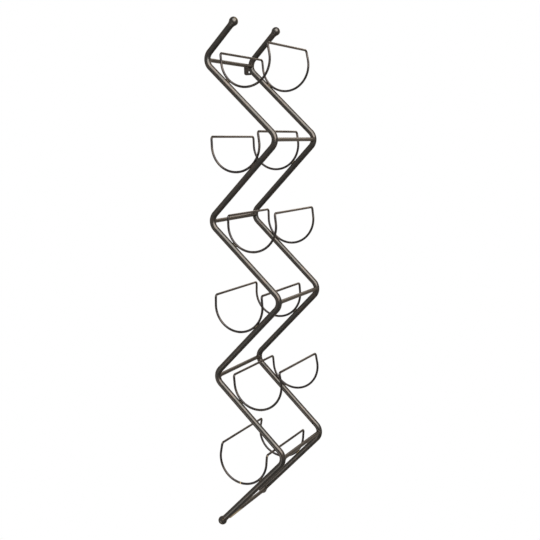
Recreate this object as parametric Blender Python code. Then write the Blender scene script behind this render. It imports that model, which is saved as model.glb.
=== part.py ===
"""Wall bottle rack of bent rod and wire.

Two zigzag rods hang one in front of the other and are joined by a crossbar at each bend. A wire
cradle sits in the hollow of each bend and holds one bottle that points out from the wall.
X runs across the wall, Y runs into the wall and Z runs up. The origin is on the back face of the
hanger plate, just above its screw hole.
"""
import math

import bmesh
import bpy
from mathutils import Matrix, Vector

# Zigzag rods: bends are measured between the corners where the straight runs would cross
BEND_COUNT = 6
BEND_DROP = 0.127
BEND_SPREAD = 0.1275
ROD_RADIUS = 0.005
ROD_BEND_RADIUS = 0.017
ROD_SPACING = 0.154
TOP_RUN = 0.078
BOTTOM_RUN = 0.1705

# Ball ends: each has a flat seat as wide as the rod that it closes
BALL_OVERHANG = 0.00225

# Crossbars: one at each bend and one just above the lower balls, set towards the underside of the rods
CROSSBAR_RADIUS = 0.0032
LAST_CROSSBAR_GAP = 0.0006
LAST_CROSSBAR_DROP = 0.003

# Bottle cradles: one closed loop of wire each, set in a little from the planes of the rods
BOTTLE_RADIUS = 0.038
BOTTLE_CLEARANCE = 0.0021
WIRE_RADIUS = 0.0019
CRADLE_BAR_RISE = 0.0176
CRADLE_BAR_INSET = 0.0008
CRADLE_CORNER_RADIUS = 0.0045
CRADLE_INSET = 0.002
# How far down its run each cradle sits, as shares of the place where it would touch both runs
CRADLE_STEP_SHARES = (1.09, 1.21, 1.19, 1.28, 1.26, 1.29)
CRADLE_TILTS = tuple(math.radians(degrees) for degrees in (7.5, 4.2, 2.9, 0.8, 6.9, -8.5))

# Hanger plate behind the first bend of the rear rod
HANGER_REACH = 0.0119
HANGER_LAP = 0.0034
HANGER_RISE = 0.003
HANGER_DROP = 0.014
HANGER_THICKNESS = 0.0025
HANGER_CORNER_RADIUS = 0.004
SCREW_HOLE_RADIUS = 0.0018
SCREW_HOLE_OUTSET = 0.0022
SCREW_HOLE_DROP = 0.0088
MOUNT_POINT_OUTSET = 0.0015
MOUNT_POINT_DROP = 0.0016

# Welded pieces keep this much room between their solids
WELD_GAP = 0.0003
CUT_OVERRUN = 0.001

# Facets
BEND_STEPS = 8
ARC_STEPS = 18
CORNER_STEPS = 4
PLATE_CORNER_STEPS = 6
ROUND_SIDES = 16
BALL_SIDES = 20
BALL_RINGS = 12
ROD_BEVEL_STEPS = 4
WIRE_BEVEL_STEPS = 2
SMOOTH_ANGLE = math.radians(40)

run_angle = math.atan2(BEND_DROP, BEND_SPREAD)
bend_apex_inset = ROD_BEND_RADIUS * (1 / math.sin(run_angle) - 1)
ball_radius = ROD_RADIUS + BALL_OVERHANG
ball_seat_height = math.sqrt(ball_radius ** 2 - ROD_RADIUS ** 2)
cradle_radius = BOTTLE_RADIUS + BOTTLE_CLEARANCE + WIRE_RADIUS
cradle_bar_half_width = cradle_radius - CRADLE_BAR_INSET
cradle_rod_distance = WIRE_RADIUS + WELD_GAP + ROD_RADIUS
cradle_seat_distance = cradle_radius + math.sqrt(cradle_rod_distance ** 2 - CRADLE_INSET ** 2)
cradle_seat_step = cradle_seat_distance / math.tan(run_angle)
rod_outer_side = bend_apex_inset - ROD_RADIUS
hanger_front = ROD_RADIUS + WELD_GAP
screw_hole_x = rod_outer_side - SCREW_HOLE_OUTSET
mount_point_x = rod_outer_side - MOUNT_POINT_OUTSET
mount_point = Vector((mount_point_x, hanger_front + HANGER_THICKNESS, -MOUNT_POINT_DROP))


def clear_scene():
    """Remove every object that the file opened with."""
    for item in list(bpy.data.objects):
        bpy.data.objects.remove(item, do_unlink=True)


def metal(name, colour, roughness):
    """Return a metallic material of one colour."""
    material = bpy.data.materials.new(name)
    material.use_nodes = True
    shader = material.node_tree.nodes["Principled BSDF"]
    shader.inputs["Base Color"].default_value = (*colour, 1.0)
    shader.inputs["Metallic"].default_value = 1.0
    shader.inputs["Roughness"].default_value = roughness
    return material


def place(item, rack, location, rotation=(0, 0, 0)):
    """Link an object to the scene as part of the rack."""
    bpy.context.scene.collection.objects.link(item)
    item.parent = rack
    item.location = location
    item.rotation_euler = rotation
    return item


def rounded_corner(before, corner, after, radius, steps):
    """Return the points of an arc that rounds one corner of a path."""
    towards_before = (before - corner).normalized()
    towards_after = (after - corner).normalized()
    half_angle = towards_before.angle(towards_after) / 2
    bisector = (towards_before + towards_after).normalized()
    centre = corner + bisector * (radius / math.sin(half_angle))
    start = corner + towards_before * (radius / math.tan(half_angle)) - centre
    axis = towards_before.cross(start).normalized()
    turn = math.pi - 2 * half_angle
    return [centre + Matrix.Rotation(turn * step / steps, 3, axis) @ start for step in range(steps + 1)]


def tube_curve(name, points, radius, bevel_steps, closed):
    """Return a round tube along a path."""
    curve = bpy.data.curves.new(name, "CURVE")
    curve.dimensions = "3D"
    curve.bevel_depth = radius
    curve.bevel_resolution = bevel_steps
    curve.use_fill_caps = True
    spline = curve.splines.new("POLY")
    spline.points.add(len(points) - 1)
    for spline_point, point in zip(spline.points, points):
        spline_point.co = (*point, 1)
    spline.use_cyclic_u = closed
    return curve


def bend_side(bend):
    """Return 1 for a bend on the left, whose runs go to the right, and -1 for one on the right."""
    return 1 if bend % 2 == 0 else -1


def bend_corner(bend):
    """Return the corner of a bend on the rod's centreline."""
    return Vector((0 if bend_side(bend) == 1 else BEND_SPREAD, 0, -BEND_DROP * bend))


def run_down(bend):
    """Return the direction of the run that leaves a bend downwards."""
    return Vector((bend_side(bend) * math.cos(run_angle), 0, -math.sin(run_angle)))


def run_up(bend):
    """Return the direction of the run that leaves a bend upwards."""
    return Vector((bend_side(bend) * math.cos(run_angle), 0, math.sin(run_angle)))


def run_underside(bend):
    """Return the direction square to the run that leaves a bend downwards, on its lower side."""
    down = run_down(bend)
    return Vector((down.z * bend_side(bend), 0, -down.x * bend_side(bend)))


def top_ball_centre():
    return bend_corner(0) + run_up(0) * TOP_RUN


def bottom_ball_centre():
    return bend_corner(BEND_COUNT - 1) + run_down(BEND_COUNT - 1) * BOTTOM_RUN


def zigzag_path():
    """Return the centreline of a rod, from the top ball's seat to the bottom ball's."""
    end_gap = ball_seat_height + WELD_GAP
    top_end = top_ball_centre() - run_up(0) * end_gap
    bottom_end = bottom_ball_centre() - run_down(BEND_COUNT - 1) * end_gap
    corners = [top_end] + [bend_corner(bend) for bend in range(BEND_COUNT)] + [bottom_end]
    path = [top_end]
    for before, corner, after in zip(corners, corners[1:], corners[2:]):
        path += rounded_corner(before, corner, after, ROD_BEND_RADIUS, BEND_STEPS)
    return path + [bottom_end]


def add_zigzag_rods(rack):
    """Add the two long rods."""
    finish = metal("rod_metal", (0.075, 0.068, 0.062), 0.42)
    curve = tube_curve("zigzag_rod", zigzag_path(), ROD_RADIUS, ROD_BEVEL_STEPS, closed=False)
    curve.materials.append(finish)
    for name, y in (("front_zigzag_rod", -ROD_SPACING), ("rear_zigzag_rod", 0)):
        place(bpy.data.objects.new(name, curve), rack, (0, y, 0))


def add_ball_ends(rack):
    """Add a ball with a flat seat on each end of each rod."""
    finish = metal("ball_metal", (0.085, 0.072, 0.062), 0.38)
    shape = bmesh.new()
    bmesh.ops.create_uvsphere(shape, u_segments=BALL_SIDES, v_segments=BALL_RINGS, radius=ball_radius)
    geometry = shape.verts[:] + shape.edges[:] + shape.faces[:]
    seat = Vector((0, 0, -ball_seat_height))
    cut = bmesh.ops.bisect_plane(shape, geom=geometry, plane_co=seat, plane_no=(0, 0, 1), clear_inner=True)
    rim = [item for item in cut["geom_cut"] if isinstance(item, bmesh.types.BMEdge)]
    bmesh.ops.edgeloop_fill(shape, edges=rim)
    bmesh.ops.recalc_face_normals(shape, faces=shape.faces)
    mesh = bpy.data.meshes.new("ball_end")
    shape.to_mesh(mesh)
    shape.free()
    mesh.shade_smooth()
    mesh.set_sharp_from_angle(angle=SMOOTH_ANGLE)
    mesh.materials.append(finish)
    ends = (("top", top_ball_centre(), run_up(0)), ("bottom", bottom_ball_centre(), run_down(BEND_COUNT - 1)))
    for row, y in (("front", -ROD_SPACING), ("rear", 0)):
        for end, centre, outward in ends:
            turn = Vector((0, 0, 1)).rotation_difference(outward).to_euler()
            ball = bpy.data.objects.new(f"{row}_{end}_ball", mesh)
            place(ball, rack, centre + Vector((0, y, 0)), turn)


def rod_cutters(rack):
    """Return the two rods with room for a weld around them, as guides for the crossbars' ends."""
    curve = tube_curve("rod_room", zigzag_path(), ROD_RADIUS + WELD_GAP, ROD_BEVEL_STEPS, closed=False)
    source = bpy.data.objects.new("rod_room_source", curve)
    place(source, rack, (0, 0, 0))
    mesh = bpy.data.meshes.new_from_object(source.evaluated_get(bpy.context.evaluated_depsgraph_get()))
    bpy.data.objects.remove(source)
    shape = bmesh.new()
    shape.from_mesh(mesh)
    bmesh.ops.remove_doubles(shape, verts=shape.verts, dist=WELD_GAP / ROUND_SIDES)
    bmesh.ops.recalc_face_normals(shape, faces=shape.faces)
    shape.to_mesh(mesh)
    shape.free()
    cutters = []
    for name, y in (("front_rod_room", -ROD_SPACING), ("rear_rod_room", 0)):
        cutter = place(bpy.data.objects.new(name, mesh), rack, (0, y, 0))
        cutter.hide_render = True
        cutter.display_type = "WIRE"
        cutters.append(cutter)
    return cutters


def crossbar_places():
    """Return where the crossbars' axes lie, from the top down."""
    places = []
    for bend in range(BEND_COUNT):
        places.append(bend_corner(bend) + Vector((bend_side(bend) * bend_apex_inset, 0, 0)))
    last = BEND_COUNT - 1
    from_ball = ball_radius + LAST_CROSSBAR_GAP + CROSSBAR_RADIUS
    rise = math.sqrt(from_ball ** 2 - LAST_CROSSBAR_DROP ** 2)
    places.append(bottom_ball_centre() - run_down(last) * rise + run_underside(last) * LAST_CROSSBAR_DROP)
    return places


def add_crossbars(rack):
    """Add the straight bars between the rods, with ends coped to fit round them."""
    finish = metal("crossbar_metal", (0.07, 0.064, 0.058), 0.45)
    cutters = rod_cutters(rack)
    for number, axis_place in enumerate(crossbar_places(), start=1):
        shape = bmesh.new()
        bmesh.ops.create_cone(shape, cap_ends=True, segments=ROUND_SIDES, radius1=CROSSBAR_RADIUS,
                              radius2=CROSSBAR_RADIUS, depth=ROD_SPACING,
                              matrix=Matrix.Rotation(math.pi / 2, 4, "X"))
        mesh = bpy.data.meshes.new(f"crossbar_{number}")
        shape.to_mesh(mesh)
        shape.free()
        mesh.shade_smooth()
        mesh.set_sharp_from_angle(angle=SMOOTH_ANGLE)
        mesh.materials.append(finish)
        bar = bpy.data.objects.new(f"crossbar_{number}", mesh)
        place(bar, rack, axis_place - Vector((0, ROD_SPACING / 2, 0)))
        for cutter in cutters:
            cope = bar.modifiers.new(f"cope_{cutter.name}", "BOOLEAN")
            cope.operation = "DIFFERENCE"
            cope.object = cutter


def cradle_path():
    """Return the wire's centreline about the bottle's axis, with the rear rod's plane at zero."""
    bar_distance = math.hypot(cradle_bar_half_width, CRADLE_BAR_RISE)
    bar_angle = math.atan2(CRADLE_BAR_RISE, cradle_bar_half_width)
    arc_end = bar_angle - math.acos(cradle_radius / bar_distance)
    arc_start = -math.pi - arc_end

    def hoop(y):
        """Return the bottom arc of the loop in one plane, from left to right."""
        angles = [arc_start + (arc_end - arc_start) * step / ARC_STEPS for step in range(ARC_STEPS + 1)]
        return [Vector((cradle_radius * math.cos(a), y, cradle_radius * math.sin(a))) for a in angles]

    def bar_corner(side, y):
        return Vector((side * cradle_bar_half_width, y, CRADLE_BAR_RISE))

    front_y = CRADLE_INSET - ROD_SPACING
    rear_y = -CRADLE_INSET
    front = hoop(front_y)
    rear = hoop(rear_y)[::-1]
    front_left, front_right = bar_corner(-1, front_y), bar_corner(1, front_y)
    rear_left, rear_right = bar_corner(-1, rear_y), bar_corner(1, rear_y)
    return (front
            + rounded_corner(front[-1], front_right, rear_right, CRADLE_CORNER_RADIUS, CORNER_STEPS)
            + rounded_corner(front_right, rear_right, rear[0], CRADLE_CORNER_RADIUS, CORNER_STEPS)
            + rear
            + rounded_corner(rear[-1], rear_left, front_left, CRADLE_CORNER_RADIUS, CORNER_STEPS)
            + rounded_corner(rear_left, front_left, front[0], CRADLE_CORNER_RADIUS, CORNER_STEPS))


def cradle_centre(bend):
    """Return the bottle's axis in the cradle that sits on the run below a bend."""
    step = cradle_seat_step * CRADLE_STEP_SHARES[bend]
    return bend_corner(bend) + run_down(bend) * step - run_underside(bend) * cradle_seat_distance


def add_bottle_cradles(rack):
    """Add a wire cradle above each run."""
    finish = metal("cradle_wire_metal", (0.07, 0.063, 0.056), 0.4)
    curve = tube_curve("bottle_cradle", cradle_path(), WIRE_RADIUS, WIRE_BEVEL_STEPS, closed=True)
    curve.materials.append(finish)
    for bend in range(BEND_COUNT):
        cradle = bpy.data.objects.new(f"bottle_cradle_{bend + 1}", curve)
        place(cradle, rack, cradle_centre(bend), (0, -CRADLE_TILTS[bend], 0))


def hanger_outline():
    """Return the hanger plate's outline in X and Z, with its lower corners rounded."""
    left = rod_outer_side - HANGER_REACH
    right = rod_outer_side + HANGER_LAP
    outline = [Vector((right, 0, HANGER_RISE)), Vector((left, 0, HANGER_RISE))]
    bottom_left = Vector((left, 0, -HANGER_DROP))
    bottom_right = Vector((right, 0, -HANGER_DROP))
    outline += rounded_corner(outline[1], bottom_left, bottom_right, HANGER_CORNER_RADIUS, PLATE_CORNER_STEPS)
    outline += rounded_corner(bottom_left, bottom_right, outline[0], HANGER_CORNER_RADIUS, PLATE_CORNER_STEPS)
    return outline


def add_hanger_plate(rack):
    """Add the small plate, welded to the back of the rear rod, that hangs on a wall screw."""
    finish = metal("hanger_metal", (0.05, 0.046, 0.043), 0.5)
    shape = bmesh.new()
    face = shape.faces.new([shape.verts.new(point) for point in hanger_outline()])
    grown = bmesh.ops.extrude_face_region(shape, geom=[face])
    moved = [item for item in grown["geom"] if isinstance(item, bmesh.types.BMVert)]
    bmesh.ops.translate(shape, verts=moved, vec=(0, HANGER_THICKNESS, 0))
    bmesh.ops.recalc_face_normals(shape, faces=shape.faces)
    mesh = bpy.data.meshes.new("hanger_plate")
    shape.to_mesh(mesh)
    shape.free()
    mesh.shade_smooth()
    mesh.set_sharp_from_angle(angle=SMOOTH_ANGLE)
    mesh.materials.append(finish)
    plate = place(bpy.data.objects.new("hanger_plate", mesh), rack, (0, hanger_front, 0))

    drill_shape = bmesh.new()
    bmesh.ops.create_cone(drill_shape, cap_ends=True, segments=ROUND_SIDES, radius1=SCREW_HOLE_RADIUS,
                          radius2=SCREW_HOLE_RADIUS, depth=HANGER_THICKNESS + 2 * CUT_OVERRUN,
                          matrix=Matrix.Rotation(math.pi / 2, 4, "X"))
    drill_mesh = bpy.data.meshes.new("screw_hole")
    drill_shape.to_mesh(drill_mesh)
    drill_shape.free()
    hole_place = (screw_hole_x, hanger_front + HANGER_THICKNESS / 2, -SCREW_HOLE_DROP)
    drill = place(bpy.data.objects.new("screw_hole", drill_mesh), rack, hole_place)
    drill.hide_render = True
    drill.display_type = "WIRE"
    hole = plate.modifiers.new("screw_hole", "BOOLEAN")
    hole.operation = "DIFFERENCE"
    hole.object = drill


def main():
    clear_scene()
    rack = bpy.data.objects.new("rack", None)
    bpy.context.scene.collection.objects.link(rack)
    rack.location = -mount_point
    add_zigzag_rods(rack)
    add_ball_ends(rack)
    add_crossbars(rack)
    add_bottle_cradles(rack)
    add_hanger_plate(rack)


main()
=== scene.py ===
"""Finish of the wall bottle rack: bent rods, ball ends, welded bars, wire cradles and bronze lacquer."""
import math

import bmesh
import bpy
from bpy.props import FloatProperty, FloatVectorProperty, IntProperty, PointerProperty
from mathutils import Matrix, Vector
from mathutils.geometry import intersect_point_line


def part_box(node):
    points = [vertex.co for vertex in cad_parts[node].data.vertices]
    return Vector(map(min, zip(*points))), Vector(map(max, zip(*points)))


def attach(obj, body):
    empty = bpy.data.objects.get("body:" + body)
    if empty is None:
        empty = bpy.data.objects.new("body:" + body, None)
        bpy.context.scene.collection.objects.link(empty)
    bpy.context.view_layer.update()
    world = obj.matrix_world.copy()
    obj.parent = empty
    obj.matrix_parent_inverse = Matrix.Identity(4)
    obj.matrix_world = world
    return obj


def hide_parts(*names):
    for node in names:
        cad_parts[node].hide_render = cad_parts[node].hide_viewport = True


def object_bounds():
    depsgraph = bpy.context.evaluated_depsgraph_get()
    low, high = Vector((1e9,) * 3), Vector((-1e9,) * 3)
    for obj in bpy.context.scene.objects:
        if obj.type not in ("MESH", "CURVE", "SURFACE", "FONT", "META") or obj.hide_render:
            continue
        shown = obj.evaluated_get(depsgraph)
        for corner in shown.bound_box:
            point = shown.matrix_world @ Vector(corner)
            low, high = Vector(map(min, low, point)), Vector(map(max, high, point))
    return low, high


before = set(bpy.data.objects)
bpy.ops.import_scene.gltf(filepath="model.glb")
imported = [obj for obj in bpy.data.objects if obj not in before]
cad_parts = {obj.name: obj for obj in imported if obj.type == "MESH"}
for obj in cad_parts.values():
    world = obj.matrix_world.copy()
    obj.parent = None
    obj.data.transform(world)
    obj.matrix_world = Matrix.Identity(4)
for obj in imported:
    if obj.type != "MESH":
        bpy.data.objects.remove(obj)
cad_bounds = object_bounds()

bl_info = {
    "name": "Wall bottle rack",
    "version": (1, 0, 0),
    "blender": (4, 5, 0),
    "location": "3D View > Sidebar > Bottle rack",
    "description": "Models the finished pieces of a welded wall bottle rack and the stage it is shown on",
    "category": "Object",
}

MM = 0.001
BODY = "root"
BEND_COUNT = 6
ROWS = ("front", "rear")
SMOOTH_ANGLE = math.radians(35)
MERGE_DISTANCE = 0.00002
# Turns of the cradles about their bottles' axes
CRADLE_TILTS = tuple(math.radians(degrees) for degrees in (7.5, 4.2, 2.9, 0.8, 6.9, -8.5))


def hex_colour(code):
    """Return the linear colour of an sRGB hex code."""
    shares = [int(code[start:start + 2], 16) / 255 for start in (1, 3, 5)]
    linear = [share / 12.92 if share <= 0.04045 else ((share + 0.055) / 1.055) ** 2.4 for share in shares]
    return (*linear, 1.0)


def middle(node):
    """Return the centre of a CAD node."""
    lowest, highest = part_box(node)
    return (lowest + highest) / 2


def length_setting(label, description, default):
    """Return a length in metres for a group of settings."""
    return FloatProperty(name=label, description=description, default=default, min=0, unit="LENGTH")


def power_setting(label, description, default):
    """Return a lamp's power in watts for a group of settings."""
    return FloatProperty(name=label, description=description, default=default, min=0, unit="POWER")


def count_setting(label, description, default, fewest):
    """Return a number of faces or rings for a group of settings."""
    return IntProperty(name=label, description=description, default=default, min=fewest)


def colour_setting(label, description, code):
    """Return a colour, given as an sRGB hex code, for a group of settings."""
    return FloatVectorProperty(name=label, description=description, default=hex_colour(code), size=4, min=0,
                               max=1, subtype="COLOR")


class RackSizes(bpy.types.PropertyGroup):
    """Sizes of the rods, bars, balls, cradles and hanger plate."""
    bend_spread: length_setting("Bend spread", "Width between the corners of left and right bends", 0.1275)
    bend_drop: length_setting("Bend drop", "Height between one bend and the next", 0.127)
    bend_radius: length_setting("Bend radius", "Radius of a bend on the rod's centreline", 0.017)
    rod_radius: length_setting("Rod radius", "Half the thickness of the rods", 0.005)
    top_run: length_setting("Top run", "From the first bend's corner to the top ball's middle", 0.078)
    bottom_run: length_setting("Bottom run", "From the last bend's corner to the low ball's middle", 0.1705)
    ball_radius: length_setting("Ball radius", "Half the width of a ball end", 0.00725)
    bar_radius: length_setting("Crossbar radius", "Half the thickness of a crossbar", 0.0032)
    wire_radius: length_setting("Wire radius", "Half the thickness of the cradle wire", 0.0019)
    cradle_radius: length_setting("Cradle radius", "Radius of a cradle's arc, to the wire's middle", 0.042)
    cradle_inset: length_setting("Cradle inset", "From a rod's plane to the cradle's arc beside it", 0.002)
    cradle_rise: length_setting("Cradle rise", "From a bottle's axis up to the cradle's top bars", 0.0176)
    cradle_half_width: length_setting("Cradle half width", "From a bottle's axis to a top bar", 0.0412)
    cradle_corner: length_setting("Cradle corner", "Radius of a cradle's corners", 0.0045)
    plate_corner: length_setting("Plate corner", "Radius of the hanger plate's lower corners", 0.004)
    hole_radius: length_setting("Hole radius", "Radius of the hanger plate's screw hole", 0.0018)
    hole_outset: length_setting("Hole outset", "From the top crossbar's axis out to the screw hole", 0.0072)
    hole_drop: length_setting("Hole drop", "From the top crossbar's axis down to the screw hole", 0.0088)


class RackDetail(bpy.types.PropertyGroup):
    """How finely the round shapes are divided."""
    rod_sides: count_setting("Rod sides", "Faces round a rod", 40, 8)
    bend_steps: count_setting("Bend steps", "Rings along a bend of a rod", 20, 4)
    bar_sides: count_setting("Bar sides", "Faces round a crossbar", 32, 8)
    bar_steps: count_setting("Bar steps", "Rings along the plain part of a crossbar", 20, 2)
    wire_sides: count_setting("Wire sides", "Faces round the cradle wire", 20, 6)
    arc_steps: count_setting("Arc steps", "Rings along half of a cradle's arc", 36, 8)
    corner_steps: count_setting("Corner steps", "Rings round a cradle's corner", 8, 3)


class RackFinish(bpy.types.PropertyGroup):
    """Colours of the lacquer, the plate's drawn darker as painted shade, and of the metal where it is
    rubbed, whose tan also paints a few highlights.
    """
    rod: colour_setting("Rod lacquer", "Bronze lacquer on the rods and balls", "#302e2b")
    bar: colour_setting("Crossbar lacquer", "Bronze lacquer on the crossbars, a little browner", "#38342f")
    wire: colour_setting("Wire lacquer", "Bronze lacquer on the cradle wire, a little darker", "#242120")
    # Painted shade: the plate's lacquer is drawn darker than the rods' to stand in for the shade it hangs
    # in at the back
    plate: colour_setting("Plate lacquer", "Bronze lacquer on the hanger plate, the darkest", "#211f1d")
    patch: colour_setting("Patches", "Reddish patches in the lacquer", "#38322d")
    glance: colour_setting("Glancing tint", "What the lacquer leaves of glancing light", "#e6dcd2")
    # Tan of rubbed metal, which also paints a few highlights and a reflection into the colour
    rubbed_and_glint: colour_setting("Rubbed bronze", "Tan metal where the lacquer is rubbed thin", "#a3916f")
    weld: colour_setting("Weld", "Lacquered weld metal", "#4a4641")


class RackStage(bpy.types.PropertyGroup):
    """Floor, lamps and camera."""
    floor_colour: colour_setting("Floor", "Plain pale floor", "#e9e8e6")
    lens: FloatProperty(name="Lens", description="Focal length", default=62.09, min=1, unit="CAMERA")
    key_power: power_setting("Key power", "Large soft lamp high on the right", 110)
    rear_power: power_setting("Rear power", "Soft lamp high behind the rack", 6)
    fill_power: power_setting("Fill power", "Weak large lamp on the left", 3)
    low_power: power_setting("Low power", "Small lamp below the front, for the last runs", 8)


# Shape of the rods and places on them

def run_angle(sizes):
    """Return how steeply the runs between bends slope."""
    return math.atan2(sizes.bend_drop, sizes.bend_spread)


def apex_inset(sizes):
    """Return how far a bend's apex lies inside its corner."""
    return sizes.bend_radius * (1 / math.sin(run_angle(sizes)) - 1)


def row_depth(row):
    """Return the Y of a rod's plane."""
    return middle(f"{row}_zigzag_rod").y


def side_of(bend):
    """Return 1 for a bend on the left and -1 for one on the right."""
    return 1 if bend % 2 == 0 else -1


def bend_corner(sizes, bend, row):
    """Return the corner where the runs beside a bend would cross."""
    first = middle("crossbar_1") - Vector((apex_inset(sizes), 0, 0))
    x = first.x if side_of(bend) == 1 else first.x + sizes.bend_spread
    return Vector((x, row_depth(row), first.z - sizes.bend_drop * bend))


def run_down(sizes, bend):
    """Return the direction of the run below a bend."""
    angle = run_angle(sizes)
    return Vector((side_of(bend) * math.cos(angle), 0, -math.sin(angle)))


def run_up(sizes, bend):
    """Return the direction of the run above a bend."""
    angle = run_angle(sizes)
    return Vector((side_of(bend) * math.cos(angle), 0, math.sin(angle)))


def ball_places(sizes, row):
    """Return the top and bottom balls' centres, each with the direction out of the rod."""
    last = BEND_COUNT - 1
    top = bend_corner(sizes, 0, row) + run_up(sizes, 0) * sizes.top_run
    bottom = bend_corner(sizes, last, row) + run_down(sizes, last) * sizes.bottom_run
    return {"top": (top, run_up(sizes, 0)), "bottom": (bottom, run_down(sizes, last))}


# Modelling steps

def begin():
    """Leave object mode's selection empty."""
    if bpy.context.mode != "OBJECT":
        bpy.ops.object.mode_set(mode="OBJECT")
    bpy.ops.object.select_all(action="DESELECT")


def edit():
    """Start shaping the new piece with all of it selected."""
    bpy.ops.object.mode_set(mode="EDIT")
    bpy.ops.mesh.select_mode(type="VERT")
    bpy.ops.mesh.select_all(action="SELECT")


def start_ring(centre, facing, radius, sides):
    """Add an open ring square to a direction and start shaping it."""
    begin()
    turn = facing.to_track_quat("Z", "Y").to_euler()
    bpy.ops.mesh.primitive_circle_add(vertices=sides, radius=radius, fill_type="NOTHING", location=centre,
                                      rotation=turn)
    edit()


def draw_out(by):
    """Extrude the selected ring."""
    bpy.ops.mesh.extrude_region_move(TRANSFORM_OT_translate={"value": by})


def resize_ring(centre, share):
    """Scale the selected ring about its centre."""
    bpy.ops.transform.resize(value=(share, share, share), center_override=centre)


def wind(centre, axis, angle, steps):
    """Sweep the selected ring right-handed about an axis; the spin tool counts its angle the other way."""
    bpy.ops.mesh.spin(steps=steps, angle=-angle, center=centre, axis=axis)


def select_where(test):
    """Select the vertices of the piece in edit mode whose place passes a test."""
    bpy.ops.mesh.select_all(action="DESELECT")
    mesh = bpy.context.edit_object.data
    shape = bmesh.from_edit_mesh(mesh)
    to_world = bpy.context.edit_object.matrix_world
    for vertex in shape.verts:
        vertex.select = test(to_world @ vertex.co)
    shape.select_flush_mode()
    bmesh.update_edit_mesh(mesh)


def close_shape(name, ends_open=True):
    """Join doubled points, close the ends, turn the faces outwards and put the place into the mesh."""
    bpy.ops.mesh.select_all(action="SELECT")
    bpy.ops.mesh.remove_doubles(threshold=MERGE_DISTANCE)
    if ends_open:
        bpy.ops.mesh.fill_holes(sides=0)
    bpy.ops.mesh.select_all(action="SELECT")
    bpy.ops.mesh.normals_make_consistent(inside=False)
    bpy.ops.object.mode_set(mode="OBJECT")
    bpy.ops.object.transform_apply(location=True, rotation=True, scale=True)
    piece = bpy.context.object
    piece.name = name
    piece.data.name = name
    return piece


def pick(piece):
    """Select one piece alone and make it active."""
    begin()
    piece.select_set(True)
    bpy.context.view_layer.objects.active = piece


def apply_modifiers(piece):
    """Turn what a piece's modifiers make into its own mesh."""
    pick(piece)
    for modifier in list(piece.modifiers):
        bpy.ops.object.modifier_apply(modifier=modifier.name)


def roughen(piece, depth, lump, level, group=""):
    """Make a surface lumpy; at a level of 0.5 the lumps rise as much as they sink."""
    texture = bpy.data.textures.new(f"{piece.name}_lumps", "CLOUDS")
    texture.noise_scale = lump
    texture.noise_depth = 1
    lumps = piece.modifiers.new("lumps", "DISPLACE")
    lumps.texture = texture
    lumps.texture_coords = "LOCAL"
    lumps.strength = depth
    lumps.mid_level = level
    lumps.vertex_group = group
    apply_modifiers(piece)


def copy_piece(piece, name, matrix):
    """Return a copy of a piece with its own mesh, moved and turned by a matrix."""
    mesh = piece.data.copy()
    mesh.transform(matrix)
    mesh.name = name
    twin = bpy.data.objects.new(name, mesh)
    bpy.context.scene.collection.objects.link(twin)
    return twin


def mark_along(piece, path):
    """Store how far along a path each point of a piece lies, for patterns that run round the metal."""
    starts = [0.0]
    for before, after in zip(path, path[1:]):
        starts.append(starts[-1] + (after - before).length)
    values = []
    for vertex in piece.data.vertices:
        best = None
        for index, (before, after) in enumerate(zip(path, path[1:])):
            point, share = intersect_point_line(vertex.co, before, after)
            share = min(max(share, 0.0), 1.0)
            distance = (before.lerp(after, share) - vertex.co).length_squared
            if best is None or distance < best[0]:
                best = (distance, starts[index] + share * (after - before).length)
        values.append(best[1])
    along = piece.data.attributes.new("along", "FLOAT", "POINT")
    along.data.foreach_set("value", values)


def mark_quarters(piece, path):
    """Store the distance along a mirrored loop as it is on the path of the loop's first quarter."""
    mesh = piece.data
    places = [vertex.co.copy() for vertex in mesh.vertices]
    for vertex in mesh.vertices:
        vertex.co = Vector((abs(vertex.co.x), -abs(vertex.co.y), vertex.co.z))
    mark_along(piece, path)
    for vertex, place in zip(mesh.vertices, places):
        vertex.co = place


def mark_rub_and_glint(piece, measure):
    """Store the share of tan at each point of a piece, from rubbing and at a few places from painted
    highlights, from 0 to 1, where that is more than before.
    """
    rub_and_glint = piece.data.attributes.get("rub_and_glint") or piece.data.attributes.new("rub_and_glint", "FLOAT", "POINT")
    for vertex, mark in zip(piece.data.vertices, rub_and_glint.data):
        mark.value = min(max(measure(vertex.co), mark.value, 0.0), 1.0)


def rubbed_and_glint_spots(point, spots, rub_and_glint):
    """Return the tan share at a point near some spots, rubbed spots and painted highlights alike: the most
    within a first radius, none past a second.
    """
    most, full, reach = rub_and_glint
    distance = min((point - spot).length for spot in spots)
    return most * (1 - min(max((distance - full) / (reach - full), 0.0), 1.0))


def dress(piece, finish, slot, *nodes):
    """Give a finished piece its material and hide the CAD nodes it stands for."""
    piece.data.materials.clear()
    piece.data.materials.append(finish)
    pick(piece)
    bpy.ops.object.shade_smooth_by_angle(angle=SMOOTH_ANGLE)
    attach(piece, BODY)
    if nodes:
        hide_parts(*nodes)


# Materials

def add_node(tree, kind, settings=None, inputs=None):
    """Add one node, set its options and values, and link what feeds it."""
    node = tree.nodes.new(kind)
    for option, value in (settings or {}).items():
        setattr(node, option, value)
    for socket, value in (inputs or {}).items():
        if isinstance(value, bpy.types.NodeSocket):
            tree.links.new(value, node.inputs[socket])
        else:
            node.inputs[socket].default_value = value
    return node


def per(size):
    """Return a noise scale whose lumps are about a size across."""
    return 1 / size


# Widths of the lacquer's patterns
PATCH = 14 * MM
MOTTLE = 3 * MM
ORANGE_PEEL = 1.6 * MM
# Draw marks on the real wire are finer than 0.2 mm, and are drawn this coarse to show
DRAW_MARK = 0.9 * MM
CHIP = 1.1 * MM
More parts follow.
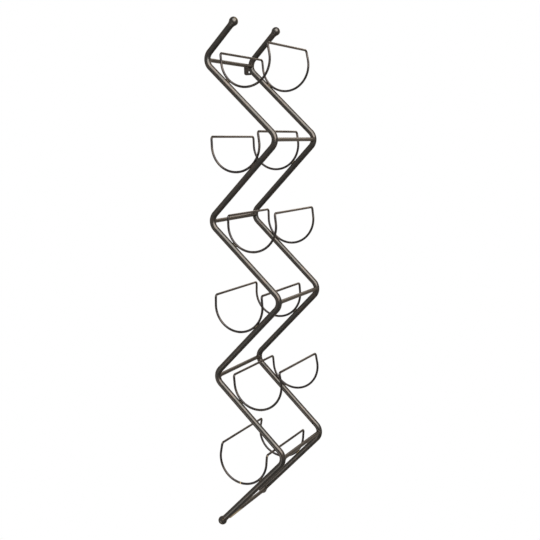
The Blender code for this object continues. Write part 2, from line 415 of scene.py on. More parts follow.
# Heights of the relief: orange peel, and draw marks on the thicker stock and on the wire
PEEL_HEIGHT = 0.12 * MM
BAR_MARK_HEIGHT = 0.05 * MM
WIRE_MARK_HEIGHT = 0.04 * MM
# Roughness of the lacquer on each kind of piece, before the mottle moves it a little
ROD_ROUGHNESS = 0.31
BALL_ROUGHNESS = 0.30
CROSSBAR_ROUGHNESS = 0.42
WIRE_ROUGHNESS = 0.34
PLATE_ROUGHNESS = 0.46


def bronze_lacquer(name, lacquer, colours, roughness, mark_height):
    """Bronze lacquer sprayed thin on drawn mild steel.

    The eye sees a brown-black satin metal, a little redder in patches, with faint rings across it left by
    the drawing die, and tan metal where handling has rubbed the lacquer thin; the same tan also paints a
    few highlights and a reflection into the colour.
    """
    material = bpy.data.materials.new(name)
    material.use_nodes = True
    tree = material.node_tree
    tree.nodes.clear()
    output = add_node(tree, "ShaderNodeOutputMaterial")
    place = add_node(tree, "ShaderNodeTexCoord").outputs["Object"]
    along = add_node(tree, "ShaderNodeAttribute", {"attribute_name": "along"}).outputs["Fac"]
    rub_and_glint = add_node(tree, "ShaderNodeAttribute", {"attribute_name": "rub_and_glint"}).outputs["Fac"]
    patches = add_node(tree, "ShaderNodeTexNoise", None,
                       {"Vector": place, "Scale": per(PATCH), "Detail": 3.0, "Roughness": 0.55})
    mottle = add_node(tree, "ShaderNodeTexNoise", None,
                      {"Vector": place, "Scale": per(MOTTLE), "Detail": 4.0, "Roughness": 0.6})
    peel = add_node(tree, "ShaderNodeTexNoise", None,
                    {"Vector": place, "Scale": per(ORANGE_PEEL), "Detail": 2.0})
    marks = add_node(tree, "ShaderNodeTexNoise", {"noise_dimensions": "1D"},
                     {"W": along, "Scale": per(DRAW_MARK), "Detail": 3.0, "Roughness": 0.6})
    chips = add_node(tree, "ShaderNodeTexNoise", None,
                     {"Vector": place, "Scale": per(CHIP), "Detail": 5.0, "Roughness": 0.65})
    # Reddish patches
    warm = add_node(tree, "ShaderNodeMapRange", {"interpolation_type": "SMOOTHSTEP"},
                    {"Value": patches.outputs["Fac"], "From Min": 0.42, "From Max": 0.68, "To Min": 0.0,
                     "To Max": 0.85})
    colour = add_node(tree, "ShaderNodeMix", {"data_type": "RGBA"},
                      {"Factor": warm.outputs["Result"], "A": lacquer, "B": colours.patch})
    # Finer mottle, lighter and darker
    shade = add_node(tree, "ShaderNodeMapRange", None,
                     {"Value": mottle.outputs["Fac"], "From Min": 0.25, "From Max": 0.75, "To Min": 0.87,
                      "To Max": 1.13})
    shaded = add_node(tree, "ShaderNodeVectorMath", {"operation": "SCALE"},
                      {"Vector": colour.outputs["Result"], "Scale": shade.outputs["Result"]})
    # Rubbed places and painted highlights break up into specks at their edge
    broken = add_node(tree, "ShaderNodeMath", {"operation": "MULTIPLY_ADD"},
                      {0: chips.outputs["Fac"], 1: 0.9, 2: rub_and_glint})
    worn_and_glint = add_node(tree, "ShaderNodeMapRange", {"interpolation_type": "SMOOTHSTEP"},
                    {"Value": broken.outputs["Value"], "From Min": 0.92, "From Max": 1.25, "To Min": 0.0,
                     "To Max": 0.9})
    final = add_node(tree, "ShaderNodeMix", {"data_type": "RGBA"},
                     {"Factor": worn_and_glint.outputs["Result"], "A": shaded.outputs["Vector"], "B": colours.rubbed_and_glint})
    dull = add_node(tree, "ShaderNodeMapRange", None,
                    {"Value": mottle.outputs["Fac"], "From Min": 0.3, "From Max": 0.7,
                     "To Min": roughness - 0.05, "To Max": roughness + 0.07})
    # Surface relief: the die's rings first, then the lacquer's orange peel
    rings = add_node(tree, "ShaderNodeBump", None,
                     {"Height": marks.outputs["Fac"], "Distance": mark_height, "Strength": 0.3})
    relief = add_node(tree, "ShaderNodeBump", None,
                      {"Height": peel.outputs["Fac"], "Distance": PEEL_HEIGHT, "Strength": 0.2,
                       "Normal": rings.outputs["Normal"]})
    # The lacquer lets the metal under it shine, and its own gloss is a thin coat over that
    shader = add_node(tree, "ShaderNodeBsdfPrincipled", None,
                      {"Base Color": final.outputs["Result"], "Roughness": dull.outputs["Result"],
                       "Metallic": 1.0, "Normal": relief.outputs["Normal"], "Specular Tint": colours.glance,
                       "Coat Weight": 0.08, "Coat Roughness": 0.22})
    tree.links.new(shader.outputs["BSDF"], output.inputs["Surface"])
    return material


# Widths of a weld's blotches and grit, and how high the grit stands
WELD_BLOTCH = 2.5 * MM
WELD_GRIT = 0.7 * MM
WELD_GRIT_HEIGHT = 0.3 * MM


def lacquered_weld(name, colours):
    """Steel weld metal laid by hand, under the same lacquer.

    The eye sees a small lumpy bead, greyer, grittier and duller than the rod, and tan where it is rubbed.
    """
    material = bpy.data.materials.new(name)
    material.use_nodes = True
    tree = material.node_tree
    tree.nodes.clear()
    output = add_node(tree, "ShaderNodeOutputMaterial")
    place = add_node(tree, "ShaderNodeTexCoord").outputs["Object"]
    blotch = add_node(tree, "ShaderNodeTexNoise", None,
                      {"Vector": place, "Scale": per(WELD_BLOTCH), "Detail": 4.0})
    grit = add_node(tree, "ShaderNodeTexNoise", None,
                    {"Vector": place, "Scale": per(WELD_GRIT), "Detail": 3.0})
    rub_and_glint = add_node(tree, "ShaderNodeAttribute", {"attribute_name": "rub_and_glint"}).outputs["Fac"]
    covered = add_node(tree, "ShaderNodeMix", {"data_type": "RGBA"},
                       {"Factor": blotch.outputs["Fac"], "A": colours.rod, "B": colours.weld})
    colour = add_node(tree, "ShaderNodeMix", {"data_type": "RGBA"},
                      {"Factor": rub_and_glint, "A": covered.outputs["Result"], "B": colours.rubbed_and_glint})
    dull = add_node(tree, "ShaderNodeMapRange", None,
                    {"Value": blotch.outputs["Fac"], "From Min": 0.3, "From Max": 0.7, "To Min": 0.38,
                     "To Max": 0.55})
    relief = add_node(tree, "ShaderNodeBump", None,
                      {"Height": grit.outputs["Fac"], "Distance": WELD_GRIT_HEIGHT, "Strength": 0.5})
    shader = add_node(tree, "ShaderNodeBsdfPrincipled", None,
                      {"Base Color": colour.outputs["Result"], "Roughness": dull.outputs["Result"],
                       "Metallic": 1.0, "Normal": relief.outputs["Normal"]})
    tree.links.new(shader.outputs["BSDF"], output.inputs["Surface"])
    return material


# Pieces

# Rubbed spots and painted highlight spots: share of tan metal, bare at the rubbed ones, the radius that has
# all of it and the radius where it ends
BEND_RUB = (0.28, 2 * MM, 14 * MM)
# Painted glints on the low front ball
LOW_BALL_GLINT_SPOT = (1.0, 0.5 * MM, 1.2 * MM)
# Painted highlight on bar 6's far weld
FAR_WELD_HIGHLIGHT_SPOT = (0.4, 1.5 * MM, 6 * MM)
CORNER_RUB = (0.5, 1.5 * MM, 8 * MM)
WORN_CORNER_RUB = (0.62, 1.5 * MM, 6 * MM)
# Faint rub along the underside of the rear rod's last run
LAST_RUN_RUB = 0.5


class RACK_OT_rods(bpy.types.Operator):
    """Bend the two zigzag rods"""
    bl_idname = "bottle_rack.rods"
    bl_label = "Zigzag rods"

    def execute(self, context):
        sizes, detail = context.scene.rack_sizes, context.scene.rack_detail
        colours = context.scene.rack_finish
        finish = bronze_lacquer("bronze_lacquer_on_drawn_rod", colours.rod, colours, ROD_ROUGHNESS,
                                BAR_MARK_HEIGHT)
        balls = ball_places(sizes, "front")
        top, bottom = balls["top"][0], balls["bottom"][0]
        turn = math.pi - 2 * (math.pi / 2 - run_angle(sizes))
        tangent = sizes.bend_radius / math.tan(math.pi / 2 - turn / 2)
        start_ring(top, -balls["top"][1], sizes.rod_radius, detail.rod_sides)
        path = [top]
        here = top
        for bend in range(BEND_COUNT):
            side = side_of(bend)
            corner = bend_corner(sizes, bend, "front")
            arc_start = corner + run_up(sizes, bend) * tangent
            draw_out(arc_start - here)
            centre = corner + Vector((side * (apex_inset(sizes) + sizes.bend_radius), 0, 0))
            axis = Vector((0, 1, 0))
            wind(centre, axis, -side * turn, detail.bend_steps)
            for step in range(detail.bend_steps + 1):
                share = Matrix.Rotation(-side * turn * step / detail.bend_steps, 3, axis)
                path.append(centre + share @ (arc_start - centre))
            here = path[-1]
        draw_out(bottom - here)
        path.append(bottom)
        front = close_shape("front_rod")
        mark_along(front, path)
        corners = [bend_corner(sizes, bend, "front") for bend in range(BEND_COUNT)]
        inner = [corner + Vector((side_of(bend) * (apex_inset(sizes) + sizes.rod_radius), 0, 0))
                 for bend, corner in enumerate(corners)]
        mark_rub_and_glint(front, lambda point: rubbed_and_glint_spots(point, inner, BEND_RUB))
        depth = row_depth("rear") - row_depth("front")
        rear = copy_piece(front, "rear_rod", Matrix.Translation((0, depth, 0)))
        last = run_down(sizes, BEND_COUNT - 1)
        under = Vector((-last.z, 0, last.x))
        end = bottom + Vector((0, depth, 0))

        def last_run_rub(point):
            """Return how much the underside of the rear rod's last run is rubbed at a point."""
            away = point - end
            on_run = 0 < -away.dot(last) < sizes.bottom_run - sizes.bend_radius
            return LAST_RUN_RUB * away.dot(under) / sizes.rod_radius if on_run else 0

        mark_rub_and_glint(rear, last_run_rub)
        for piece, row in ((front, "front"), (rear, "rear")):
            dress(piece, finish, "rod_metal", f"{row}_zigzag_rod")
        return {"FINISHED"}


# The ball is cut flat where its radius is this, and drawn into a weld that tapers onto the rod
NECK_TOP = 5.9 * MM
# Rings of that weld, in millimetres: (further down, radius)
NECK = ((0.5, 5.82), (0.6, 5.62), (0.6, 5.42), (0.7, 5.25), (0.8, 5.1), (0.9, 4.98), (1.0, 4.8))
# Lumps of that weld: depth and width
NECK_LUMPS = (0.3 * MM, 1.6 * MM)
# Handling bares every ball's crown a little, and the top front one's the most
CROWN_RUB = 0.42
HANDLED_CROWN_RUB = 0.6
# Ways from the middle of the low front ball to two painted glints, tan spots that stand in for small
# highlights
LOW_BALL_GLINTS = ((0.5, -0.72, 0.47), (0, -0.95, -0.31))


class RACK_OT_balls(bpy.types.Operator):
    """Shape the four ball ends, each with the weld round its neck"""
    bl_idname = "bottle_rack.balls"
    bl_label = "Ball ends"

    def execute(self, context):
        sizes, colours = context.scene.rack_sizes, context.scene.rack_finish
        finish = bronze_lacquer("bronze_lacquer_on_ball", colours.rod, colours, BALL_ROUGHNESS, 0)
        seat = math.sqrt(sizes.ball_radius ** 2 - NECK_TOP ** 2)
        begin()
        bpy.ops.mesh.primitive_uv_sphere_add(segments=48, ring_count=32, radius=sizes.ball_radius)
        edit()
        bpy.ops.mesh.bisect(plane_co=(0, 0, -seat), plane_no=(0, 0, 1), clear_inner=True)
        select_where(lambda point: abs(point.z + seat) < MERGE_DISTANCE)
        down, radius = seat, NECK_TOP
        for drop, wide in NECK:
            draw_out(Vector((0, 0, -drop * MM)))
            down += drop * MM
            resize_ring((0, 0, -down), wide * MM / radius)
            radius = wide * MM
        pattern = close_shape("ball_pattern")
        weld = pattern.vertex_groups.new(name="weld")
        below_cut = [v.index for v in pattern.data.vertices if v.co.z < -seat - MERGE_DISTANCE]
        weld.add(below_cut, 1.0, "REPLACE")
        roughen(pattern, *NECK_LUMPS, 0.5, "weld")
        mark_rub_and_glint(pattern, lambda point: CROWN_RUB * max(point.z, 0) / sizes.ball_radius)
        for row in ROWS:
            for end, (centre, outward) in ball_places(sizes, row).items():
                turn = Vector((0, 0, 1)).rotation_difference(outward).to_matrix().to_4x4()
                ball = copy_piece(pattern, f"{row}_{end}_ball_end", Matrix.Translation(centre) @ turn)
                if (row, end) == ("front", "top"):
                    def handled(point):
                        """Return how much hands have rubbed this ball at a point."""
                        return HANDLED_CROWN_RUB * (point - centre).normalized().dot(outward)

                    mark_rub_and_glint(ball, handled)
                if (row, end) == ("front", "bottom"):
                    # Painted glints: two small tan spots on the low front ball
                    glints = [centre + Vector(way).normalized() * sizes.ball_radius for way in LOW_BALL_GLINTS]
                    mark_rub_and_glint(ball, lambda point: rubbed_and_glint_spots(point, glints, LOW_BALL_GLINT_SPOT))
                dress(ball, finish, "ball_metal", f"{row}_{end}_ball")
        bpy.data.objects.remove(pattern)
        return {"FINISHED"}


# Rings of a crossbar's flared end, in millimetres: (distance from the rod's centre, radius)
FLARE = ((2.2, 3.9), (3.6, 4.45), (4.5, 4.5), (5.1, 4.3), (5.7, 3.95), (6.3, 3.6), (7.0, 3.35), (8.0, 3.2))
# How far the weld's lumps reach past the rod's skin, and their depth and width
FLARE_REACH = 2.6 * MM
FLARE_LUMPS = (0.55 * MM, 1.5 * MM)
# The lacquer thins towards a crossbar's ends: share of bare metal there and how far it reaches
END_RUB = 0.25
END_RUB_LENGTH = 12 * MM
# The lowest bar's underside is ground down at its ends: how far in from the rod's middle the cut stays
# deep, and how far it takes to fade out from there
GROUND_START = 2 * MM
GROUND_LENGTH = 5 * MM
# Least share of the radius that the grinding leaves, which closes the end without a crease
GROUND_LEAST = 0.05
# Painted tan reflection along the lowest bar's underside: its full length, how far it fades on, and how
# steep its sides are
UNDERSIDE_REFLECTION_LENGTH = 26 * MM
UNDERSIDE_REFLECTION_FADE = 44 * MM
UNDERSIDE_REFLECTION_EDGE = 1.4


def underside(point, place, radius):
    """Return how far a point of the lowest bar lies towards its underside, in bar radii."""
    return (point.x - place.x - point.z + place.z) / (math.sqrt(2) * radius)


class RACK_OT_crossbars(bpy.types.Operator):
    """Turn the seven crossbars, flared at each end into the weld on the rod"""
    bl_idname = "bottle_rack.crossbars"
    bl_label = "Crossbars"

    def execute(self, context):
        sizes, detail = context.scene.rack_sizes, context.scene.rack_detail
        colours = context.scene.rack_finish
        finish = bronze_lacquer("bronze_lacquer_on_crossbar", colours.bar, colours, CROSSBAR_ROUGHNESS,
                                BAR_MARK_HEIGHT)
        front, rear = row_depth("front"), row_depth("rear")
        rings = [(front + far * MM, wide * MM) for far, wide in FLARE]
        start, length = rings[-1][0], rear - front - 2 * FLARE[-1][0] * MM
        steps = detail.bar_steps
        rings += [(start + length * step / steps, sizes.bar_radius) for step in range(1, steps)]
        rings += [(rear - far * MM, wide * MM) for far, wide in reversed(FLARE)]
        start_ring(Vector((0, rings[0][0], 0)), Vector((0, 1, 0)), rings[0][1], detail.bar_sides)
        for (before, narrow), (after, wide) in zip(rings, rings[1:]):
            draw_out(Vector((0, after - before, 0)))
            resize_ring((0, after, 0), wide / narrow)
        pattern = close_shape("crossbar_pattern")
        weld = pattern.vertex_groups.new(name="weld")
        reach = sizes.rod_radius + FLARE_REACH
        ends = [v.index for v in pattern.data.vertices if min(v.co.y - front, rear - v.co.y) < reach]
        weld.add(ends, 1.0, "REPLACE")
        roughen(pattern, *FLARE_LUMPS, 0.6, "weld")
        mark_along(pattern, [Vector((0, front, 0)), Vector((0, rear, 0))])

        def thinned(point):
            """Return how thin the lacquer is towards either end of a bar."""
            return END_RUB * (1 - min(point.y - front, rear - point.y) / END_RUB_LENGTH)

        mark_rub_and_glint(pattern, thinned)
        for number in range(1, BEND_COUNT + 2):
            place = middle(f"crossbar_{number}")
            bar = copy_piece(pattern, f"welded_bar_{number}", Matrix.Translation((place.x, 0, place.z)))
            if number == BEND_COUNT:
                # A painted tan highlight over this bar's far weld
                far_weld_highlight = Vector((place.x, rear - sizes.rod_radius, place.z + sizes.bar_radius))
                mark_rub_and_glint(bar, lambda point: rubbed_and_glint_spots(point, [far_weld_highlight], FAR_WELD_HIGHLIGHT_SPOT))
            if number == BEND_COUNT + 1:
                self.grind_and_paint_reflection(bar, place, sizes.bar_radius, front, rear)
            dress(bar, finish, "crossbar_metal", f"crossbar_{number}")
        bpy.data.objects.remove(pattern)
        return {"FINISHED"}

    @staticmethod
    def grind_and_paint_reflection(bar, place, radius, front, rear):
        """Grind the lowest bar's ends down on the underside, and paint a tan reflection along that side
        from the front end.
        """
        for vertex in bar.data.vertices:
            off = Vector((vertex.co.x - place.x, 0, vertex.co.z - place.z))
            end = min(vertex.co.y - front, rear - vertex.co.y)
            limit = radius * min(max((end - GROUND_START) / GROUND_LENGTH, GROUND_LEAST), 1)
            if underside(vertex.co, place, radius) > 0 and off.length > limit:
                vertex.co -= off * (1 - limit / off.length)

        def painted_reflection(point):
            """Return how much of the painted tan reflection a point takes."""
            along = 1 - (point.y - front - UNDERSIDE_REFLECTION_LENGTH) / UNDERSIDE_REFLECTION_FADE
            return min(along, UNDERSIDE_REFLECTION_EDGE * underside(point, place, radius))

        # Painted reflection: tan along the underside from the front end
        mark_rub_and_glint(bar, painted_reflection)


# Butt weld at the bottom of a cradle's front arc: half its width, how much it swells and how far the bare
# metal on it takes to fade out
SEAM_HALF_WIDTH = 0.5 * MM
SEAM_SWELL = 1.07
SEAM_EDGE = 0.4 * MM


def cradle_middle(sizes, number):
    """Return the point on the bottle's axis halfway between a cradle's two arcs."""
    tilt = CRADLE_TILTS[number - 1]
    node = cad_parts[f"bottle_cradle_{number}"]
    turn_back = Matrix.Rotation(tilt, 3, "Y")
    level = [turn_back @ vertex.co for vertex in node.data.vertices]
    lowest = Vector([min(point[axis] for point in level) for axis in range(3)])
    highest = Vector([max(point[axis] for point in level) for axis in range(3)])
    centre = (lowest + highest) / 2
    centre.z = lowest.z + sizes.wire_radius + sizes.cradle_radius
    return turn_back.inverted() @ centre


class RACK_OT_cradles(bpy.types.Operator):
    """Bend the six wire cradles, each one closed loop"""
    bl_idname = "bottle_rack.cradles"
    bl_label = "Bottle cradles"

    def execute(self, context):
        sizes, detail = context.scene.rack_sizes, context.scene.rack_detail
        colours = context.scene.rack_finish
        finish = bronze_lacquer("bronze_lacquer_on_wire", colours.wire, colours, WIRE_ROUGHNESS,
                                WIRE_MARK_HEIGHT)
        across, rise, corner = sizes.cradle_half_width, sizes.cradle_rise, sizes.cradle_corner
        half_depth = (row_depth("rear") - row_depth("front")) / 2 - sizes.cradle_inset
        bar_distance = math.hypot(across, rise)
        arc_end = math.atan2(rise, across) - math.acos(sizes.cradle_radius / bar_distance)
        # A quarter of the loop: half the front arc, up to the corner, and half of the right top bar
        bottom = Vector((0, -half_depth, -sizes.cradle_radius))
        start_ring(bottom, Vector((1, 0, 0)), sizes.wire_radius, detail.wire_sides)
        sweep = math.pi / 2 + arc_end
        hub = Vector((0, -half_depth, 0))
        wind(hub, (0, 1, 0), -sweep, detail.arc_steps)
        path = [hub + Matrix.Rotation(-sweep * step / detail.arc_steps, 3, "Y") @ (bottom - hub)
                for step in range(detail.arc_steps + 1)]
        bar_corner = Vector((across, -half_depth, rise))
        rising = (bar_corner - path[-1]).normalized()
        corner_start = bar_corner - rising * corner
        draw_out(corner_start - path[-1])
        corner_hub = corner_start + Vector((0, corner, 0))
        fold = Vector((0, -1, 0)).cross(rising)
        wind(corner_hub, fold, math.pi / 2, detail.corner_steps)
        path += [corner_hub + Matrix.Rotation(math.pi / 2 * step / detail.corner_steps, 3, fold)
                 @ (corner_start - corner_hub) for step in range(detail.corner_steps + 1)]
        draw_out(Vector((0, -path[-1].y, 0)))
        path.append(Vector((path[-1].x, 0, path[-1].z)))
        bpy.ops.object.mode_set(mode="OBJECT")
        bpy.ops.object.transform_apply(location=True, rotation=True, scale=True)
        pattern = bpy.context.object
        mirror = pattern.modifiers.new("other_quarters", "MIRROR")
        mirror.use_axis = (True, True, False)
        mirror.merge_threshold = MERGE_DISTANCE
        apply_modifiers(pattern)
        edit()
        # The wire's two ends meet at the bottom of the front arc in a low butt weld
        bpy.ops.mesh.remove_doubles(threshold=MERGE_DISTANCE)
        select_where(lambda point: abs(point.x) < MERGE_DISTANCE and point.y < 0)
        bpy.ops.mesh.select_mode(type="EDGE")
        bpy.ops.mesh.bevel(offset=SEAM_HALF_WIDTH, segments=2, affect="EDGES")
        bpy.ops.transform.resize(value=(1, SEAM_SWELL, SEAM_SWELL), center_override=bottom)
        pattern = close_shape("cradle_pattern", ends_open=False)
        quarters = [[Vector((p.x * sx, p.y * sy, p.z)) for p in path] for sx in (1, -1) for sy in (1, -1)]
        mark_quarters(pattern, path)
        # The wire is rubbed at the middle of its corners
        spots = [quarter[-2 - detail.corner_steps // 2] for quarter in quarters]
        mark_rub_and_glint(pattern, lambda point: rubbed_and_glint_spots(point, spots, CORNER_RUB))
        for number in range(1, BEND_COUNT + 1):
            turn = Matrix.Rotation(-CRADLE_TILTS[number - 1], 4, "Y")
            place = Matrix.Translation(cradle_middle(sizes, number)) @ turn
            cradle = copy_piece(pattern, f"wire_cradle_{number}", place)
            if number == BEND_COUNT:
                # The lowest cradle is bare on its seam and worn on one corner
                seam, worn_corner = place @ bottom, place @ spots[0]
                bare = math.hypot(sizes.wire_radius * SEAM_SWELL, SEAM_HALF_WIDTH)
                mark_rub_and_glint(cradle, lambda point: rubbed_and_glint_spots(point, [seam], (1.0, bare, bare + SEAM_EDGE)))
                mark_rub_and_glint(cradle, lambda point: rubbed_and_glint_spots(point, [worn_corner], WORN_CORNER_RUB))
            dress(cradle, finish, "cradle_wire_metal", f"bottle_cradle_{number}")
        bpy.data.objects.remove(pattern)
        return {"FINISHED"}


# A bead is a ball stretched by these, with rings pinched between its puddles
BEAD_STRETCH = (1.5, 1.5, 4.6)
PINCHED_RINGS = tuple(millimetres * MM for millimetres in (-2.6, -1.3, 0.0, 1.3, 2.6))
PINCH_WIDTH = 0.36 * MM
PINCH_SHARE = 0.84
BEAD_LUMPS = (0.3 * MM, 1.2 * MM)
# A bead's middle from the rod's skin outwards, and from the rod's plane inwards
BEAD_LIFT = 0.1 * MM
BEAD_INSET = 1.5 * MM
# How bare the beads are, and those whose lacquer is thinner: (cradle, rod)
BEAD_RUB = 0.1
THIN_BEADS = {(1, "rear"): 0.7, (6, "rear"): 0.5, (4, "front"): 0.3}


class RACK_OT_welds(bpy.types.Operator):
    """Lay the weld beads between the cradles and the rods"""
    bl_idname = "bottle_rack.welds"
    bl_label = "Cradle welds"

    def execute(self, context):
        sizes = context.scene.rack_sizes
        finish = lacquered_weld("lacquered_weld_bead", context.scene.rack_finish)
        begin()
        bpy.ops.mesh.primitive_uv_sphere_add(segments=24, ring_count=20, radius=1 * MM)
        edit()
        bpy.ops.transform.resize(value=BEAD_STRETCH, center_override=(0, 0, 0))
        for level in PINCHED_RINGS:
            select_where(lambda point: abs(point.z - level) < PINCH_WIDTH)
            bpy.ops.transform.resize(value=(PINCH_SHARE, PINCH_SHARE, 1), center_override=(0, 0, level))
        pattern = close_shape("bead_pattern", ends_open=False)
        roughen(pattern, *BEAD_LUMPS, 0.5)
        for bend in range(BEND_COUNT):
            centre = cradle_middle(sizes, bend + 1)
            for row in ROWS:
                corner = bend_corner(sizes, bend, row)
                along = run_down(sizes, bend)
                foot = corner + along * (centre - corner).dot(along)
                level = Vector((centre.x, foot.y, centre.z))
                outward = (level - foot).normalized()
                inward = 1 if row == "front" else -1
                spot = foot + outward * (sizes.rod_radius + BEAD_LIFT) + Vector((0, inward * BEAD_INSET, 0))
                turn = along.to_track_quat("Z", "Y").to_matrix().to_4x4()
                bead = copy_piece(pattern, f"cradle_weld_{bend + 1}_{row}", Matrix.Translation(spot) @ turn)
                mark_rub_and_glint(bead, lambda point: THIN_BEADS.get((bend + 1, row), BEAD_RUB))
                dress(bead, finish, "rod_metal")
        bpy.data.objects.remove(pattern)
        return {"FINISHED"}


# Width of the plate's rounded edges, and length of the drill that cuts its screw hole
PLATE_EDGE = 0.35 * MM
DRILL_LENGTH = 8 * MM
# Share of bare metal at the screw hole's rim, and how far from the rim it ends
HOLE_RUB = 0.45
HOLE_RUB_WIDTH = 3 * MM


class RACK_OT_hanger(bpy.types.Operator):
    """Cut the hanger plate, round its edges and drill its screw hole"""
    bl_idname = "bottle_rack.hanger"
    bl_label = "Hanger plate"

    def execute(self, context):
        sizes, colours = context.scene.rack_sizes, context.scene.rack_finish
        # The plate's darker lacquer colour is painted shade
        finish = bronze_lacquer("bronze_lacquer_on_plate_with_painted_shade", colours.plate, colours, PLATE_ROUGHNESS, 0)
        lowest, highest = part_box("hanger_plate")
        begin()
        bpy.ops.mesh.primitive_cube_add(size=1, location=(lowest + highest) / 2, scale=highest - lowest)
        bpy.ops.object.transform_apply(location=True, rotation=True, scale=True)
        edit()
        bpy.ops.mesh.select_mode(type="EDGE")
        bpy.ops.mesh.select_all(action="DESELECT")
        shape = bmesh.from_edit_mesh(bpy.context.edit_object.data)
        for edge in shape.edges:
            ends = [vertex.co for vertex in edge.verts]
            across = abs(ends[0].y - ends[1].y) > (highest.y - lowest.y) / 2
            edge.select = across and all(end.z < (lowest.z + highest.z) / 2 for end in ends)
        bmesh.update_edit_mesh(bpy.context.edit_object.data)
        bpy.ops.mesh.bevel(offset=sizes.plate_corner, segments=10, affect="EDGES")
        plate = close_shape("hanger", ends_open=False)
        bar = middle("crossbar_1")
        hole = Vector((bar.x - sizes.hole_outset, (lowest.y + highest.y) / 2, bar.z - sizes.hole_drop))
        begin()
        bpy.ops.mesh.primitive_cylinder_add(vertices=32, radius=sizes.hole_radius, depth=DRILL_LENGTH,
                                            location=hole, rotation=(math.pi / 2, 0, 0))
        drill = bpy.context.object
        cut = plate.modifiers.new("screw_hole", "BOOLEAN")
        cut.object = drill
        edges = plate.modifiers.new("edges", "BEVEL")
        edges.width = PLATE_EDGE
        edges.segments = 3
        edges.limit_method = "ANGLE"
        edges.angle_limit = SMOOTH_ANGLE
        apply_modifiers(plate)
        bpy.data.objects.remove(drill)
        rim_rub = (HOLE_RUB, sizes.hole_radius, sizes.hole_radius + HOLE_RUB_WIDTH)
        mark_rub_and_glint(plate, lambda point: rubbed_and_glint_spots(point, [hole], rim_rub))
        dress(plate, finish, "hanger_metal", "hanger_plate")
        return {"FINISHED"}


# Stage

# From the rack's lowest point down to the floor, the floor's radius and the width of its rim
FLOOR_DROP = 1.5
FLOOR_RADIUS = 2.4
FLOOR_RIM = 0.02
# Where the floor starts and ends its fade into the white surround, from its middle
FLOOR_FADE = (1.2, 2.3)
# Strength of the surround where it lights the rack; where it is seen, it is white
SURROUND_LIGHT = 0.1
# The camera's place, and its turns in degrees: round the vertical, up from straight down, and roll
CAMERA_PLACE = (0.7320, -1.4691, -0.1386)
CAMERA_TURN = (25.59, 82.557, -1.488)


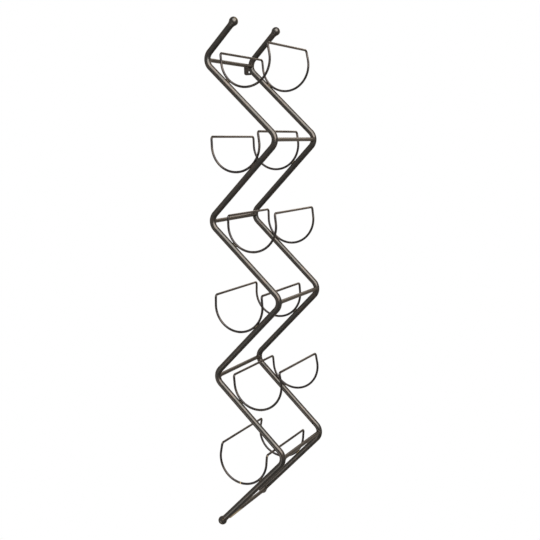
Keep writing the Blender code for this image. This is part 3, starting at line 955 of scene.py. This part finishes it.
class RACK_OT_stage(bpy.types.Operator):
    """Set the floor, the lamps, the white surround and the camera"""
    bl_idname = "bottle_rack.stage"
    bl_label = "Stage"

    def execute(self, context):
        settings = context.scene.rack_stage
        lowest, highest = cad_bounds
        centre = (lowest + highest) / 2
        floor_middle = Vector((centre.x, centre.y, lowest.z - FLOOR_DROP))
        begin()
        bpy.ops.mesh.primitive_circle_add(vertices=96, radius=FLOOR_RADIUS, fill_type="NGON",
                                          location=floor_middle)
        edit()
        bpy.ops.mesh.inset(thickness=FLOOR_RIM, depth=0)
        floor = close_shape("floor", ends_open=False)
        paper = bpy.data.materials.new("matt_white_paper")
        paper.use_nodes = True
        tree = paper.node_tree
        tree.nodes.clear()
        output = add_node(tree, "ShaderNodeOutputMaterial")
        place = add_node(tree, "ShaderNodeTexCoord").outputs["Object"]
        ray = add_node(tree, "ShaderNodeLightPath")
        away = add_node(tree, "ShaderNodeVectorMath", {"operation": "DISTANCE"},
                        {0: place, 1: floor_middle})
        edge = add_node(tree, "ShaderNodeMapRange", {"interpolation_type": "SMOOTHSTEP"},
                        {"Value": away.outputs["Value"], "From Min": FLOOR_FADE[0],
                         "From Max": FLOOR_FADE[1]})
        fade = add_node(tree, "ShaderNodeMath", {"operation": "MULTIPLY"},
                        {0: edge.outputs["Result"], 1: ray.outputs["Is Camera Ray"]})
        shader = add_node(tree, "ShaderNodeBsdfPrincipled", None,
                          {"Base Color": settings.floor_colour, "Roughness": 0.9})
        surround = add_node(tree, "ShaderNodeEmission", None,
                            {"Color": hex_colour("#ffffff"), "Strength": 1.0})
        blend = add_node(tree, "ShaderNodeMixShader", None,
                         {0: fade.outputs["Value"], 1: shader.outputs["BSDF"],
                          2: surround.outputs["Emission"]})
        tree.links.new(blend.outputs["Shader"], output.inputs["Surface"])
        floor.data.materials.append(paper)

        # Each lamp: name, place from the rack's centre, direction of its long side, size and power
        lamps = (("key_lamp", (0.84, -0.77, 1.01), (1, 0, -1), (1.8, 1.6), settings.key_power),
                 ("rear_lamp", (-0.05, 1.4, 0.72), (1, 0, 0), (1.3, 0.6), settings.rear_power),
                 ("fill_lamp", (-0.85, -1.0, -0.15), (0, 0, 1), (1.8, 1.1), settings.fill_power),
                 ("low_lamp", (-0.66, -1.2, -1.05), (1, 0, 0), (0.8, 0.8), settings.low_power))
        for name, offset, long_side, (length, width), power in lamps:
            data = bpy.data.lights.new(name, "AREA")
            data.shape = "RECTANGLE"
            data.size, data.size_y = length, width
            data.energy = power
            lamp = bpy.data.objects.new(name, data)
            context.scene.collection.objects.link(lamp)
            lamp.visible_camera = False
            back = Vector(offset).normalized()
            right = (Vector(long_side) - back * back.dot(Vector(long_side))).normalized()
            turn = Matrix((right, back.cross(right), back)).transposed().to_4x4()
            lamp.matrix_world = Matrix.Translation(centre + Vector(offset)) @ turn

        world = context.scene.world or bpy.data.worlds.new("surround")
        context.scene.world = world
        world.use_nodes = True
        tree = world.node_tree
        tree.nodes.clear()
        output = add_node(tree, "ShaderNodeOutputWorld")
        ray = add_node(tree, "ShaderNodeLightPath")
        seen = add_node(tree, "ShaderNodeMath", {"operation": "MAXIMUM"},
                        {0: ray.outputs["Is Camera Ray"], 1: ray.outputs["Is Glossy Ray"]})
        through = add_node(tree, "ShaderNodeMath", {"operation": "MAXIMUM"},
                           {0: seen.outputs["Value"], 1: ray.outputs["Is Transmission Ray"]})
        strength = add_node(tree, "ShaderNodeMapRange", None,
                            {"Value": through.outputs["Value"], "To Min": SURROUND_LIGHT, "To Max": 1.0})
        light = add_node(tree, "ShaderNodeBackground", None,
                         {"Color": hex_colour("#ffffff"), "Strength": strength.outputs["Result"]})
        tree.links.new(light.outputs["Background"], output.inputs["Surface"])
        context.scene.view_settings.view_transform = "Standard"

        data = bpy.data.cameras.new("camera")
        data.lens = settings.lens
        data.sensor_width = 36
        data.clip_start = 0.01
        camera = bpy.data.objects.new("camera", data)
        context.scene.collection.objects.link(camera)
        pan, tip, roll = (math.radians(degrees) for degrees in CAMERA_TURN)
        camera.matrix_world = (Matrix.Translation(CAMERA_PLACE) @ Matrix.Rotation(pan, 4, "Z")
                               @ Matrix.Rotation(tip, 4, "X") @ Matrix.Rotation(roll, 4, "Z"))
        context.scene.camera = camera
        return {"FINISHED"}


class RACK_PT_panel(bpy.types.Panel):
    """Steps that make the bottle rack, in order"""
    bl_idname = "RACK_PT_panel"
    bl_label = "Wall bottle rack"
    bl_space_type = "VIEW_3D"
    bl_region_type = "UI"
    bl_category = "Bottle rack"

    def draw(self, context):
        for operator in STEPS:
            self.layout.operator(operator.bl_idname)


GROUPS = {"rack_sizes": RackSizes, "rack_detail": RackDetail, "rack_finish": RackFinish,
          "rack_stage": RackStage}
STEPS = (RACK_OT_rods, RACK_OT_balls, RACK_OT_crossbars, RACK_OT_cradles, RACK_OT_welds, RACK_OT_hanger,
         RACK_OT_stage)


def register():
    for group in GROUPS.values():
        bpy.utils.register_class(group)
    for name, group in GROUPS.items():
        setattr(bpy.types.Scene, name, PointerProperty(type=group))
    for step in STEPS:
        bpy.utils.register_class(step)
    bpy.utils.register_class(RACK_PT_panel)


def unregister():
    bpy.utils.unregister_class(RACK_PT_panel)
    for step in reversed(STEPS):
        bpy.utils.unregister_class(step)
    for name in GROUPS:
        delattr(bpy.types.Scene, name)
    for group in reversed(list(GROUPS.values())):
        bpy.utils.unregister_class(group)


def main():
    register()
    bpy.ops.bottle_rack.rods()
    bpy.ops.bottle_rack.balls()
    bpy.ops.bottle_rack.crossbars()
    bpy.ops.bottle_rack.cradles()
    bpy.ops.bottle_rack.welds()
    bpy.ops.bottle_rack.hanger()
    bpy.ops.bottle_rack.stage()


if __name__ == "__main__":
    main()
